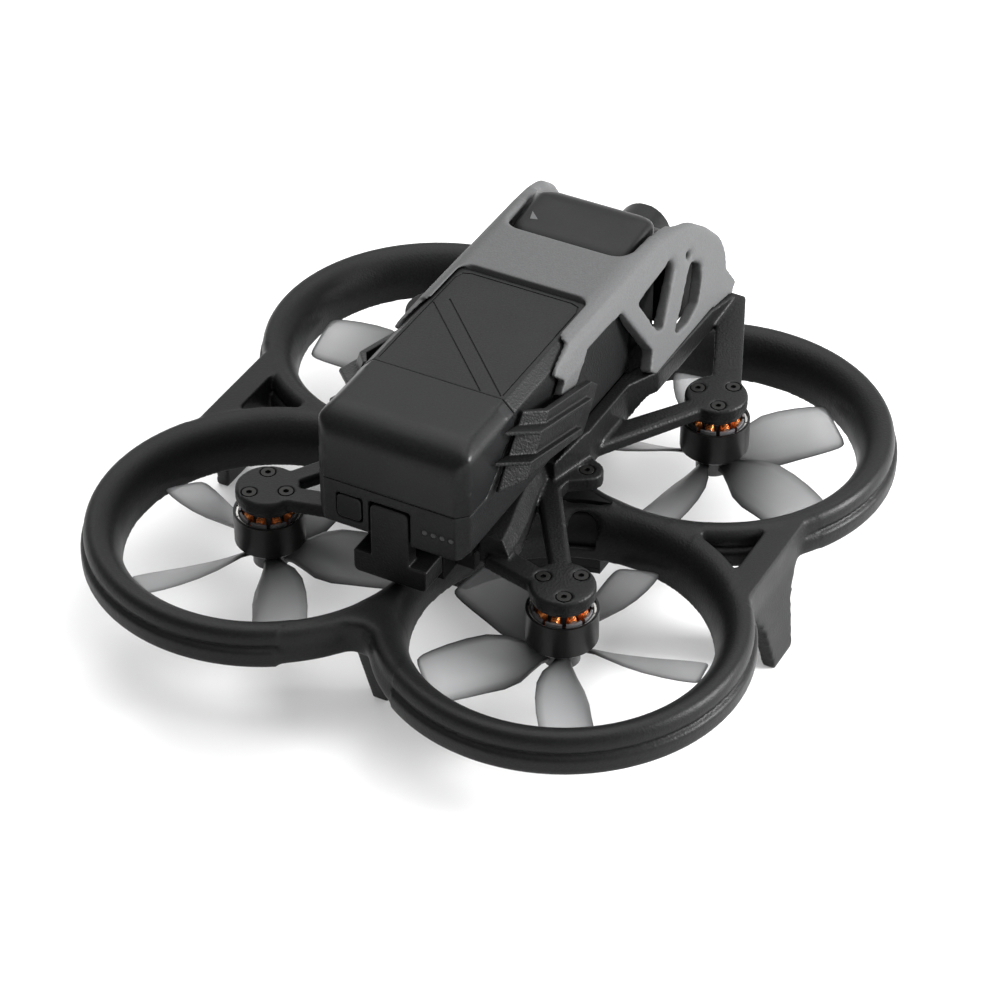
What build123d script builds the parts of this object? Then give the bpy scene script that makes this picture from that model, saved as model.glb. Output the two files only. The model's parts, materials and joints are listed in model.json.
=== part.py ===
from build123d import *
from math import atan2, cos, degrees, hypot, radians, sin, sqrt
import os

# A small ducted quadcopter for first-person flying. Millimetres. +X is its right side,
# +Y its nose, +Z up. The origin is on the ground, under the middle of the four motors.

# Layout
MOTOR_X = 41.2
MOTOR_Y = 43.6
MOTOR_SIGNS = {"fl": (-1, 1), "fr": (1, 1), "rl": (-1, -1), "rr": (1, -1)}
CLOCKWISE = ("fl", "rr")
BLADE_PHASE = {"fl": 38, "fr": 50, "rl": 16, "rr": 12}

# Heights
POD_BOTTOM = 12.5
DUCT_BOTTOM = 17.9
DUCT_CREST = 31.5
DECK_LOW = 36.8
DECK_TOP = 40.5
SILL_TOP = 48.5
BATTERY_BOTTOM = 46.0
BATTERY_TOP = 78.0
FRAME_TOP = 79.0

# Duct rings: radii of the section about the motor axis
THROAT_R = 37.3
DUCT_WALL = 1.6
THROAT_TOP = 21.5
CREST_R = 44.3
SHOULDER_R = 46.7
SHOULDER_Z = 28.2
LIP_R = 47.6
LIP_BOTTOM = 20.6

# Motors and propellers
CAP_R = 8.2
CAP_SCREW_PCD_R = 5.3
BELL_R = 9.0
BELL_LOW = 22.9
BELL_HIGH = 32.8
SHAFT_R = 1.0
BEARING_GAP = 0.02
PROP_R = 36.0
BLADES = 5
HUB_R = 4.6
HUB_LOW = 16.4
BLADE_Z = 19.9

# Battery
BATTERY_HALF = 20.8
BATTERY_REAR = -55.0
BATTERY_FRONT = 33.0
BATTERY_BEVEL = 2.9
BATTERY_WALL = 1.4
CAP_SEAM_Y = -30.0
CAP_SEAM_Z = 59.0
STEP_Y = 15.2
STEP_Z = 75.9

# Side frame plane: it leans inwards going up
TRUSS_X = 29.0
TRUSS_LEAN = 0.25
TRUSS_THICK = 3.6

# Camera
TILT_Y = 72.0
TILT_Z = 54.0
CLEAR = 0.3


def plate(points, z_low, z_high):
    """A flat outline in plan, raised from z_low to z_high."""
    face = Polygon(*points, align=None)
    return Pos(0, 0, z_low) * extrude(face, z_high - z_low, dir=(0, 0, 1))


def side_plate(points, x_low, x_high):
    """An outline of (y, z) points seen from the side, given a width along X."""
    face = Plane.YZ * Polygon(*points, align=None)
    return Pos(x_low, 0, 0) * extrude(face, x_high - x_low, dir=(1, 0, 0))


def block(x, y, z):
    """A box from its (low, high) pairs."""
    size = (x[1] - x[0], y[1] - y[0], z[1] - z[0])
    middle = ((x[0] + x[1]) / 2, (y[0] + y[1]) / 2, (z[0] + z[1]) / 2)
    return Pos(*middle) * Box(*size)


def rod(x, y, z_low, z_high, radius):
    """An upright cylinder."""
    return Pos(x, y, (z_low + z_high) / 2) * Cylinder(radius, z_high - z_low)


def tube(x, y, z_low, z_high, outer, inner):
    """An upright tube."""
    return rod(x, y, z_low, z_high, outer) - rod(x, y, z_low, z_high, inner)


def both_sides(shape):
    """The shape and its mirror image across the middle of the aircraft."""
    return shape + mirror(shape, Plane.YZ)


def motor_places():
    """The four motor axes."""
    return [(name, sx * MOTOR_X, sy * MOTOR_Y) for name, (sx, sy) in MOTOR_SIGNS.items()]


def at_motors(shape):
    """The shape repeated at the four motor axes."""
    copies = [Pos(x, y, 0) * shape for name, x, y in motor_places()]
    return Part() + copies


def spun(*edges):
    """A closed outline of (r, z) edges, spun about the Z axis."""
    return revolve(Plane.XZ * make_face(Wire(list(edges))), Axis.Z)


def bell_mouth(offset):
    """The curve from the throat up to the crest, moved outwards by offset."""
    reach = CREST_R - THROAT_R - offset
    rise = DUCT_CREST - THROAT_TOP - offset
    return EllipticalCenterArc((CREST_R, THROAT_TOP), reach, rise, start_angle=90, arc_size=90)


def chain(points):
    """Straight edges through the points."""
    return [Line(a, b) for a, b in zip(points, points[1:])]


def duct_ring():
    """One ring: a bell mouth over a throat, a rolled rim, a groove and a lower lip, open below."""
    mouth = bell_mouth(0)
    inner_skin = bell_mouth(DUCT_WALL)
    rim = EllipticalCenterArc(
        (CREST_R, SHOULDER_Z), SHOULDER_R - CREST_R, DUCT_CREST - SHOULDER_Z, start_angle=0, arc_size=90
    )
    outside = chain(
        [
            (SHOULDER_R, SHOULDER_Z),
            (SHOULDER_R, 27.1),
            (SHOULDER_R - 0.6, 26.7),
            (SHOULDER_R - 0.6, 26.2),
            (LIP_R - 0.5, 25.9),
            (LIP_R, 25.3),
            (LIP_R, LIP_BOTTOM + 1.0),
            (LIP_R - 0.8, LIP_BOTTOM),
            (LIP_R - 2.3, LIP_BOTTOM),
            (SHOULDER_R - 1.9, SHOULDER_Z - 1),
            (CREST_R, DUCT_CREST - DUCT_WALL),
        ]
    )
    throat_r = THROAT_R + DUCT_WALL
    inside = chain(
        [(throat_r, THROAT_TOP), (throat_r, DUCT_BOTTOM), (THROAT_R, DUCT_BOTTOM), (THROAT_R, THROAT_TOP)]
    )
    return spun(mouth, rim, *outside, inner_skin, *inside)


def duct_space(offset, low, high):
    """Everything within a duct's inner surface, moved outwards by offset."""
    throat = THROAT_R + offset
    sides = chain(
        [(CREST_R, DUCT_CREST - offset), (CREST_R, high), (0, high), (0, low), (throat, low), (throat, THROAT_TOP)]
    )
    return at_motors(spun(bell_mouth(offset), *sides))


def end_web():
    """The rear bridge between two rings, with a small round hollow at its outer edge."""
    hollow_r = 3.0
    reach = LIP_R + hollow_r
    hollow_y = MOTOR_Y + sqrt(reach**2 - MOTOR_X**2)
    share = LIP_R / reach
    tangent = (MOTOR_X * (1 - share), MOTOR_Y + (hollow_y - MOTOR_Y) * share)
    outline = [
        (-tangent[0], -tangent[1]),
        (tangent[0], -tangent[1]),
        (15, -60),
        (8, -27),
        (-8, -27),
        (-15, -60),
    ]
    web = plate(outline, LIP_BOTTOM, DUCT_CREST - 0.4)
    return web - rod(0, -hollow_y, 0, DECK_TOP, hollow_r)


def side_web():
    """The right-hand bridge between front and rear rings: a saddle falls from the deck to its window."""
    outline = [(33, -12), (50, -14), (78.6, -16), (78.6, 16), (50, 14), (33, 12)]
    web = plate(outline, LIP_BOTTOM, DUCT_CREST - 0.4)
    slices = []
    for x, top, half in ((24, 36.7, 4.2), (33, 35.6, 4.8), (42, 33.2, 6.5), (55, 30.8, 9.5)):
        points = [(-half - 5, 24), (half + 5, 24), (half, top), (-half, top)]
        slices.append(Plane.YZ.offset(x) * Polygon(*points, align=None))
    window = plate([(56.3, 0), (71.3, -10.2), (71.3, 10.2)], 0, 40)
    rounded = fillet(window.edges().filter_by(Axis.Z), 1.6)
    return web + loft(slices, ruled=True) - rounded


def side_leg():
    """The right-hand leg: a thin plate that spreads into the bridge above it."""
    levels = [(0, 5.35, 80.1), (13.5, 8.0, 77.9), (LIP_BOTTOM + 2, 15.0, 76.6)]
    slices = [Pos(x, 0, z) * Rectangle(3.7, 2 * half) for z, half, x in levels]
    return loft(slices, ruled=True)


def end_leg():
    """The rear leg, a narrow blade under the rear bridge."""
    outline = [(-69.4, LIP_BOTTOM + 2), (-61.4, 0), (-57.6, 0), (-55.6, DUCT_BOTTOM), (-55.6, LIP_BOTTOM + 2)]
    return side_plate(outline, -2.4, 2.4)


def prop_guard():
    """The one-piece guard: four duct rings, their bridges and the four legs."""
    sides = both_sides(side_web() + side_leg())
    rear = end_web() + end_leg()
    ends = rear + mirror(rear, Plane.XZ)
    spine = block((-9, 9), (-60, 60), (DUCT_BOTTOM, DUCT_CREST - 0.4))
    guard = at_motors(duct_ring()) + sides + ends + spine
    pod_room = block((-33, 33), (-27, 27), (0, DUCT_CREST + 8))
    guard -= pod_room - duct_space(DUCT_WALL, 0, 60)
    guard -= duct_space(0, 0, 60)
    guard -= at_motors(rod(0, 0, -1, DUCT_BOTTOM, LIP_BOTTOM + 12))
    for sx in (-1, 1):
        for sy in (-1, 1):
            lookout = Rot(0, 0, degrees(atan2(35.5 * sy, -13.2 * sx))) * Box(8, 6.6, 8.6)
            guard -= Pos(sx * 28.0, sy * 8.1, 25.6) * lookout
    return guard


def pod_outline(gap, inset, low, high):
    """The room between the four ducts, held off their walls by gap and narrowed by inset."""
    reach = 33 - CLEAR - inset
    room = block((-reach, reach), (-27 + inset, 27 - inset), (low, high))
    return room - duct_space(DUCT_WALL + gap, 0, 60)


def fuselage_pod():
    """The belly between the ducts and the channel above the spine, hollow for the electronics."""
    lower = pod_outline(0.1, 0, POD_BOTTOM + 1.7, DUCT_CREST)
    upper = block((-15, 15), (-39.6, 58), (DUCT_CREST, DECK_LOW))
    hollow_low = pod_outline(1.6, 1.5, 0, DUCT_CREST - 1.6)
    hollow_top = block((-13.5, 13.5), (-38, 56.5), (DUCT_CREST + 0.1, DECK_LOW - 1.4))
    neck = block((-11, 11), (-16, 16), (DUCT_CREST - 2, DUCT_CREST + 1))
    return lower + upper - hollow_low - hollow_top - neck


def bottom_cover():
    """The belly plate, with rows of cooling slots and two round sensor openings."""
    cover = pod_outline(0.1, 0, POD_BOTTOM, POD_BOTTOM + 1.6)
    for x in (-12, -8, -4, 0, 4, 8, 12):
        cover -= Pos(x, 0, POD_BOTTOM) * Box(1.6, 11, 6)
    for y in (-15, 15):
        cover -= rod(0, y, 0, 20, 3.2)
    return cover


def bottom_sensors():
    """Two downward sensor windows, seated in the belly plate."""
    windows = [rod(0, y, POD_BOTTOM + 0.2, POD_BOTTOM + 3.4, 3.2) for y in (-15, 15)]
    return Compound(windows)


def arm(root, cap, root_width, cap_width):
    """A flat arm from the deck out to a motor cap, with bevelled top edges."""
    run = (cap[0] - root[0], cap[1] - root[1])
    length = hypot(*run)
    across = (-run[1] / length, run[0] / length)
    outline = []
    for point, half, side in (
        (root, root_width / 2, 1),
        (root, root_width / 2, -1),
        (cap, cap_width / 2, -1),
        (cap, cap_width / 2, 1),
    ):
        outline.append((point[0] + across[0] * half * side, point[1] + across[1] * half * side))
    bar = plate(outline, DECK_LOW + 0.1, DECK_TOP)
    return chamfer(bar.faces().sort_by(Axis.Z)[-1].edges(), 0.8)


def nose_arm():
    """The front arm, which climbs from the motor cap to the nose of the sill."""
    outline = [(28.6, 79), (33.0, 79), (46.4, 47.5), (38.2, 47.0), (29.4, 68)]
    bar = plate(outline, DECK_LOW - 1, SILL_TOP)
    low = DECK_LOW + 0.1
    profile = [(44, low), (44, DECK_TOP), (56, DECK_TOP), (79, 46.5), (79, 41.5), (60, low)]
    return bar & side_plate(profile, 20, 50)


def low_rail():
    """The rail beside the battery: its wide outer bevel drifts inwards going forward."""
    slices = []
    top = BATTERY_BOTTOM - 0.4
    edges = [(-42, 24.0, 25.6), (-35, 22.6, 25.1), (-27, 20.5, 23.5), (-18, 18.7, 21.1), (-8, 17.8, 19.0)]
    for y, inner, outer in edges:
        points = [(17.3, DECK_LOW), (outer, DECK_LOW), (outer, 41.6), (inner, top), (17.3, top)]
        slices.append(Plane.XZ.offset(-y) * Polygon(*points, align=None))
    return loft(slices, ruled=True)


def side_rail():
    """The right-hand deck rail: low under the battery, then rising to the sill under the frame."""
    outer = [(21.2, -9), (24.5, 4), (24.5, 26), (28.6, 35), (29.2, 66), (30.6, 79)]
    inner = [(26, 79), (24.5, 66), (24, 37), (19.5, 29), (17, 20), (17, -9)]
    low = plate(outer + inner, DECK_LOW, BATTERY_BOTTOM - 0.4)
    low_profile = [(-9, DECK_LOW), (-9, 45.6), (79, 45.6), (79, 41), (66, 42), (32, 42), (25, DECK_LOW)]
    high = plate(outer + [(26, 79), (24.5, 66), (24, 37), (21.2, 30)], 45, SILL_TOP)
    high_profile = [(-9, 45), (-9, 45.8), (2, SILL_TOP), (66, SILL_TOP), (79, 46.5), (79, 45)]
    rail = (low & side_plate(low_profile, 10, 40)) + (high & side_plate(high_profile, 10, 40))
    return rail + low_rail()


def cap_screw_angles(name):
    """Directions of the three screws of one motor cap."""
    inward = 180 if MOTOR_SIGNS[name][0] > 0 else 0
    return [inward + step for step in (0, 120, 240)]


def ring_points(x, y, radius, angles):
    """Points round an axis."""
    return [(x + radius * cos(radians(a)), y + radius * sin(radians(a))) for a in angles]


def arm_frame():
    """The deck: rails, cross members, arms and the four motor caps."""
    right = side_rail() + nose_arm()
    right += arm((20.5, -40.5), (40.6, -45.6), 7.0, 6.4)
    right += arm((20.0, -10.0), (38.4, -38.8), 6.2, 5.4)
    right += arm((21.5, 11.0), (39.0, 37.8), 7.4, 5.6)
    right += rod(26.3, -1, DECK_LOW, DECK_TOP, 4.2)
    shoulder = [(16, -12), (23.8, -12), (24.2, -7.4), (28, -4.9), (28, 2.8), (24, 4.6), (23.6, 9), (16, 9)]
    right += plate(shoulder, DECK_LOW, DECK_TOP)
    deck = both_sides(right)
    deck += block((-18, 18), (-39, 36), (DECK_LOW, DECK_TOP))
    deck += block((-24.5, 24.5), (34, 57.5), (DECK_LOW + 1, 45.6))
    deck += at_motors(
        chamfer(rod(0, 0, DECK_LOW, DECK_TOP, CAP_R).faces().sort_by(Axis.Z)[-1].edges(), 0.6)
    )
    holes = []
    for name, x, y in motor_places():
        for hx, hy in ring_points(x, y, CAP_SCREW_PCD_R, cap_screw_angles(name)):
            holes.append(rod(hx, hy, 30, 50, 1.0) + rod(hx, hy, DECK_TOP - 1.4, 50, 2.05))
    for sx in (-1, 1):
        holes.append(rod(sx * 26.3, -1, 30, 50, 1.0) + rod(sx * 26.3, -1, DECK_TOP - 1.4, 50, 2.05))
    return deck - holes


def screw(x, y, head_top, length):
    """A small socket-head screw, head up."""
    body = rod(x, y, head_top - 1.3, head_top, 1.8) + rod(x, y, head_top - length, head_top - 1.3, 1.0)
    socket = Pos(x, y, head_top - 0.8) * extrude(RegularPolygon(0.8, 6), 1)
    return body - socket


def motor_screws():
    """The twelve screws that hold the motors to their caps."""
    screws = []
    for name, x, y in motor_places():
        for sx, sy in ring_points(x, y, CAP_SCREW_PCD_R, cap_screw_angles(name)):
            screws.append(screw(sx, sy, DECK_TOP - 0.1, 4.7))
    return Compound(screws)


def motor_base(name):
    """One fixed motor base: a disc under the cap and the bearing tube."""
    base = rod(0, 0, 35.6, DECK_LOW, 7.4) + rod(0, 0, 26.0, 35.6, 3.2)
    base -= rod(0, 0, 20, 50, 2.3)
    for hx, hy in ring_points(0, 0, CAP_SCREW_PCD_R, cap_screw_angles(name)):
        base -= rod(hx, hy, 30, 50, 1.0)
    return base


def motor_bases():
    """The four motor bases."""
    return Compound([Pos(x, y, 0) * motor_base(name) for name, x, y in motor_places()])


def motor_bearings():
    """Two bearings in each motor."""
    rings = []
    for name, x, y in motor_places():
        for low in (26.3, 34.6):
            rings.append(tube(x, y, low, low + 1.8, 2.3, SHAFT_R + BEARING_GAP))
    return Compound(rings)


STATOR_TEETH = 9
STATOR_LOW = 27.4
STATOR_HIGH = 33.2


def stator_core():
    """The laminated stator: a hub, nine teeth and their curved shoes."""
    core = rod(0, 0, STATOR_LOW, STATOR_HIGH, 4.3)
    shoes = tube(0, 0, STATOR_LOW, STATOR_HIGH, 7.55, 7.0)
    for step in range(STATOR_TEETH):
        turn = Rot(0, 0, step * 360 / STATOR_TEETH)
        core += turn * block((3.8, 7.2), (-0.6, 0.6), (STATOR_LOW, STATOR_HIGH))
        slot_turn = Rot(0, 0, (step + 0.5) * 360 / STATOR_TEETH)
        shoes -= slot_turn * block((6.5, 8), (-0.5, 0.5), (20, 40))
    return core + shoes - rod(0, 0, 20, 40, 3.2)


def stator_cores():
    """The four stators."""
    core = stator_core()
    return Compound([Pos(x, y, 0) * core for name, x, y in motor_places()])


def stator_coils():
    """One copper coil round each tooth of one stator."""
    coils = []
    for step in range(STATOR_TEETH):
        coil = block((4.6, 6.8), (-1.25, 1.25), (STATOR_LOW - 1.5, STATOR_HIGH + 1.5))
        coil = fillet(coil.edges().filter_by(Axis.X), 0.9)
        coil -= block((4, 8), (-0.62, 0.62), (STATOR_LOW - 0.02, STATOR_HIGH + 0.02))
        coils.append(Rot(0, 0, step * 360 / STATOR_TEETH) * coil)
    return coils


def stator_windings():
    """The copper coils of the four motors."""
    coils = stator_coils()
    return Compound([Pos(x, y, 0) * coil for name, x, y in motor_places() for coil in coils])


def motor_bell():
    """The turning can: a wall, a closed bottom with an edge bevel, and a boss for the shaft."""
    bell = chamfer(rod(0, 0, BELL_LOW, BELL_HIGH, BELL_R).faces().sort_by(Axis.Z)[0].edges(), 1.2)
    bell -= rod(0, 0, BELL_LOW + 1.8, 50, 8.35)
    bell += rod(0, 0, BELL_LOW + 1.8, BELL_LOW + 2.8, 2.4)
    return bell - rod(0, 0, 20, 50, SHAFT_R)


def magnets():
    """Twelve arc magnets inside the can."""
    ring = tube(0, 0, STATOR_LOW - 0.3, STATOR_HIGH - 0.9, 8.35, 7.75)
    arcs = []
    for step in range(12):
        wedge = Rot(0, 0, step * 30) * block((7, 9), (-1.9, 1.9), (20, 40))
        arcs.append((ring & wedge).solids()[0])
    return Compound(arcs)


def motor_shaft():
    """The steel shaft through can, bearings and hub."""
    return rod(0, 0, HUB_LOW + 1.5, 36.6, SHAFT_R)


def blade_section(radius, chord, pitch, thick, sweep):
    """A thin lens across the blade at one radius."""
    half = chord / 2
    upper = ThreePointArc((-half, 0), (0, thick), (half, 0))
    lower = ThreePointArc((half, 0), (0, -thick * 0.25), (-half, 0))
    face = make_face(Wire([upper, lower]))
    frame = Plane(origin=(radius, sweep, BLADE_Z), x_dir=(0, 1, 0), z_dir=(1, 0, 0))
    return frame * (Rot(0, 0, pitch) * face)


def propeller(name):
    """Five twisted blades on a hub. The aircraft's diagonal pairs turn opposite ways."""
    stations = [
        (3.4, 5.4, 40, 1.1, 0.0),
        (9.0, 9.0, 38, 0.8, 0.2),
        (17.0, 14.0, 30, 0.6, 0.6),
        (26.0, 14.4, 23, 0.5, 0.6),
        (33.0, 11.6, 19, 0.4, 0.0),
        (PROP_R - 0.2, 8.4, 17, 0.35, -0.6),
    ]
    blade = loft([blade_section(*station) for station in stations])
    tip_circle = rod(0, 0, 0, 40, PROP_R)
    hub = rod(0, 0, HUB_LOW, BELL_LOW, HUB_R)
    hub = chamfer(hub.faces().sort_by(Axis.Z)[0].edges(), 0.5)
    prop = hub
    for step in range(BLADES):
        prop += Rot(0, 0, step * 360 / BLADES) * blade
    prop = prop & tip_circle
    if name in CLOCKWISE:
        prop = mirror(prop, Plane.XZ)
    prop = Rot(0, 0, BLADE_PHASE[name]) * prop
    prop -= rod(0, 0, 0, 50, SHAFT_R)
    for hx, hy in ring_points(0, 0, 3.0, (90, 210, 330)):
        prop -= rod(hx, hy, 0, HUB_LOW + 1.0, 1.2)
        prop -= rod(hx, hy, 0, 50, 0.6)
    return prop


def prop_screws():
    """Three small screws, heads down, that hold the hub to the can."""
    screws = []
    for hx, hy in ring_points(0, 0, 3.0, (90, 210, 330)):
        screws.append(rod(hx, hy, HUB_LOW + 0.2, HUB_LOW + 1.0, 1.1) + rod(hx, hy, HUB_LOW + 1.0, BELL_LOW, 0.6))
    return Compound(screws)


def battery_body():
    """The battery's whole outer form: bevelled long edges and a rounded upper rear edge."""
    body = block((-BATTERY_HALF, BATTERY_HALF), (BATTERY_REAR, BATTERY_FRONT), (BATTERY_BOTTOM, BATTERY_TOP))
    rear_top = body.edges().filter_by(Axis.X).sort_by(Axis.Z)[-2:].sort_by(Axis.Y)[0]
    body = fillet(rear_top, 8.0)
    bevels = []
    for side in (-1, 1):
        edge_x = side * BATTERY_HALF
        for y, z in ((None, BATTERY_TOP), (BATTERY_REAR, None), (None, BATTERY_BOTTOM)):
            size = BATTERY_BEVEL if z != BATTERY_BOTTOM else 2.0
            cutter = Box(size * sqrt(2), 400, size * sqrt(2))
            if z is None:
                cutter = Box(size * sqrt(2), size * sqrt(2), 400)
                bevels.append(Pos(edge_x, y, 0) * Rot(0, 0, 45) * cutter)
            else:
                bevels.append(Pos(edge_x, 0, z) * Rot(0, 45, 0) * cutter)
    body -= bevels
    step = block((-30, 30), (STEP_Y, 60), (STEP_Z, 90))
    return body - step


def rear_cap_room():
    """The space of the smooth rear cap, with a sloping seam down each side."""
    outline = [
        (-70, CAP_SEAM_Z),
        (-44, CAP_SEAM_Z),
        (CAP_SEAM_Y, 70),
        (CAP_SEAM_Y, 90),
        (-70, 90),
    ]
    return side_plate(outline, -40, 40)


PLUG_HALF = 5.2
PLUG_TOP = 55.4
BUTTON_X = -11.0
BUTTON_Z = 52.1
BUTTON_SIZE = 6.6
BUTTON_DEPTH = 2.2


def battery_hollow():
    """The inside of the battery shells."""
    wall = BATTERY_WALL
    half = BATTERY_HALF - wall - 1.4
    return block((-half, half), (-49.5, BATTERY_FRONT - wall), (BATTERY_BOTTOM + wall, STEP_Z - 2.2))


def battery_case():
    """The lower and front shell of the battery, with the pockets of its rear face."""
    case = battery_body() - rear_cap_room() - battery_hollow()
    case -= block((-PLUG_HALF - 0.5, PLUG_HALF + 0.5), (-60, -50.6), (40, PLUG_TOP + 0.6))
    reach = BUTTON_SIZE / 2 + CLEAR
    case -= block(
        (BUTTON_X - reach, BUTTON_X + reach),
        (-60, BATTERY_REAR + BUTTON_DEPTH + 1.0),
        (BUTTON_Z - reach, BUTTON_Z + reach),
    )
    for x in led_places():
        case -= Pos(x, BATTERY_REAR, 51.7) * Rot(90, 0, 0) * Cylinder(0.7, 4)
    return case


def battery_rear_cap():
    """The smooth cap over the battery's upper rear end."""
    return (battery_body() & rear_cap_room()) - battery_hollow()


def battery_cells():
    """Four flat cells, stacked two by two."""
    cells = []
    for y in (-48.8, -8.6):
        for z in (48.0, 60.6):
            cells.append(block((-17.6, 17.6), (y, y + 39.2), (z, z + 12.2)))
    return Compound(cells)


def led_places():
    """Where the four charge lights sit across the rear face."""
    return [9.6 + 2.4 * step for step in range(4)]


def battery_leds():
    """Four light pipes for the charge level."""
    pipes = [Pos(x, BATTERY_REAR + 1.1, 51.7) * Rot(90, 0, 0) * Cylinder(0.7, 1.8) for x in led_places()]
    return Compound(pipes)


def power_button():
    """The battery's power button, a rounded square with a stub that reaches its switch."""
    half = BUTTON_SIZE / 2
    low = BATTERY_REAR - 0.1
    key = block((BUTTON_X - half, BUTTON_X + half), (low, low + BUTTON_DEPTH), (BUTTON_Z - half, BUTTON_Z + half))
    return fillet(key.edges().filter_by(Axis.Y), 1.2)


def power_plug():
    """The battery's power plug: a finger tab, a wide foot with two notches, and the nose."""
    tab = block((-PLUG_HALF, PLUG_HALF), (-55.2, -51.0), (34.0, PLUG_TOP))
    tab = fillet(tab.edges().filter_by(Axis.Y).sort_by(Axis.Z)[-2:], 1.6)
    foot = block((-10.1, 10.1), (-55.2, -46.8), (33.4, 39.7))
    foot = fillet(foot.edges().filter_by(Axis.Y).sort_by(Axis.Z)[:2], 1.4)
    nose = block((-6.9, 6.9), (-46.8, -41.6), (34.9, 38.3))
    return tab + foot + nose


def power_port():
    """The socket on the aircraft that the power plug slides into."""
    port = block((-10.1, 10.1), (-46.4, -39.8), (DUCT_CREST, DECK_TOP))
    return port - block((-7.2, 7.2), (-50, -41.2), (34.6, 38.6))


def battery_tray():
    """The seat under the battery, an open-bottomed tray between the deck rails."""
    tray = block((-16.9, 16.9), (-45, 33), (DECK_TOP, BATTERY_BOTTOM - CLEAR))
    return tray - block((-15.2, 15.2), (-43.4, 31.4), (30, BATTERY_BOTTOM - CLEAR - 1.6))


BUCKLE_X = 26.2
BUCKLE_INNER_X = 24.6
LEDGE_X = 27.8
BUCKLE_SLANT = 0.885
LEDGE_FALL = 0.29


def slanted(points):
    """A plan outline swept upwards and forwards along the buckle's slant. Its y is taken at z 0."""
    face = Polygon(*points, align=None)
    return extrude(face, 85 * hypot(1, BUCKLE_SLANT), dir=(0, BUCKLE_SLANT, 1))


def buckle_ledge(level):
    """One raised ledge to press on: it starts at the battery's side and falls going forward."""
    outline = [(21.5, -101.2), (LEDGE_X, -92.5), (LEDGE_X, -58.2), (25, -58.2), (25, -84.8), (21.5, -90.6)]
    band = []
    for y, side in ((-50, -1), (10, -1), (10, 1), (-50, 1)):
        band.append((y, level - LEDGE_FALL * y + 0.45 * side))
    return slanted(outline) & side_plate(band, 10, 40)


def buckle_right():
    """The right-hand battery buckle: a springy panel that leans forward, with two ledges."""
    section = [
        (21.3, -92.6),
        (22.0, -93.6),
        (BUCKLE_X, -86.4),
        (BUCKLE_X, -58.0),
        (24.9, -46.0),
        (23.7, -46.0),
        (BUCKLE_INNER_X, -58.6),
        (BUCKLE_INNER_X, -85.5),
    ]
    outline = [
        (-28.3, 74.6),
        (-22.1, 72.6),
        (1.0, 66.3),
        (6.8, 61.4),
        (0.6, 50.0),
        (-9.3, 54.6),
        (-22.0, 57.4),
        (-34.0, 59.4),
        (-41.0, 58.8),
    ]
    panel = slanted(section) & side_plate(outline, 10, 40)
    return panel + buckle_ledge(62.6) + buckle_ledge(55.4)


def on_truss(y, z):
    """A point of the leaning side frame, in that plane's own coordinates."""
    return (y, (z - SILL_TOP) * sqrt(1 + TRUSS_LEAN**2))


def truss_slab(points, x_shift, thick):
    """A slab of the leaning side frame with this (y, z) outline."""
    face = Polygon(*[on_truss(y, z) for y, z in points], align=None)
    up = (-TRUSS_LEAN, 0, 1)
    normal = Vector(0, 1, 0).cross(Vector(*up))
    plane = Plane(origin=(TRUSS_X + x_shift, 0, SILL_TOP), x_dir=(0, 1, 0), z_dir=normal)
    return extrude(plane * face, thick, dir=-normal)


def truss_windows():
    """The side frame's two openings, as (y, z) outlines."""
    large = [(32.4, 70.6), (52.6, 72.0), (53.2, 69.4), (47.3, 63.9), (41.4, 58.6), (38.9, 59.2)]
    narrow = [(62.0, 65.9), (66.4, 63.3), (65.0, 59.6), (60.5, 54.8), (53.8, 53.1), (47.4, 53.6), (46.8, 54.8)]
    return large, narrow


def truss_outline():
    """The side frame's outer outline, as (y, z) points."""
    return [
        (31.0, 50.8),
        (33.9, SILL_TOP),
        (66.0, SILL_TOP),
        (79.0, 46.6),
        (81.8, 48.4),
        (78.4, 54.0),
        (79.8, 58.5),
        (79.4, 63.0),
        (74.0, 68.6),
        (66.5, 74.0),
        (58.0, 77.0),
        (45.0, 78.4),
        (10.0, 78.4),
        (-2.0, 77.6),
        (-10.0, 76.0),
        (-11.6, 74.6),
        (-9.2, 72.4),
        (-7.8, 71.2),
        (-10.2, 68.4),
        (-7.0, 66.0),
        (-2.2, 65.8),
        (1.0, 69.4),
        (5.0, 72.3),
        (20.3, 72.0),
        (24.0, 71.6),
        (34.2, 55.0),
    ]


def upper_frame_side():
    """The right-hand truss of the upper frame, with its screw boss."""
    side = truss_slab(truss_outline(), 0, TRUSS_THICK)
    for window in truss_windows():
        side -= truss_slab(window, 5, TRUSS_THICK + 10)
    post = Pos(25.0, 61.2, 67.4) * Rot(0, 76, 0) * Cylinder(2.0, 4.4)
    bore = Pos(25.0, 61.2, 67.4) * Rot(0, 76, 0) * Cylinder(1.15, 12)
    return side + post - bore


def frame_envelope():
    """The upper frame's outer form: leaning sides with well rounded upper edges."""
    foot = TRUSS_X + 0.6
    side = [(foot, 45.0), (22.9, 73.0), (22.2, 75.4), (20.9, 77.5), (19.2, 78.6), (17.4, FRAME_TOP)]
    outline = side + [(-x, z) for x, z in reversed(side)]
    return extrude(Plane.XZ * Polygon(*outline, align=None), 100, both=True)


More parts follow.
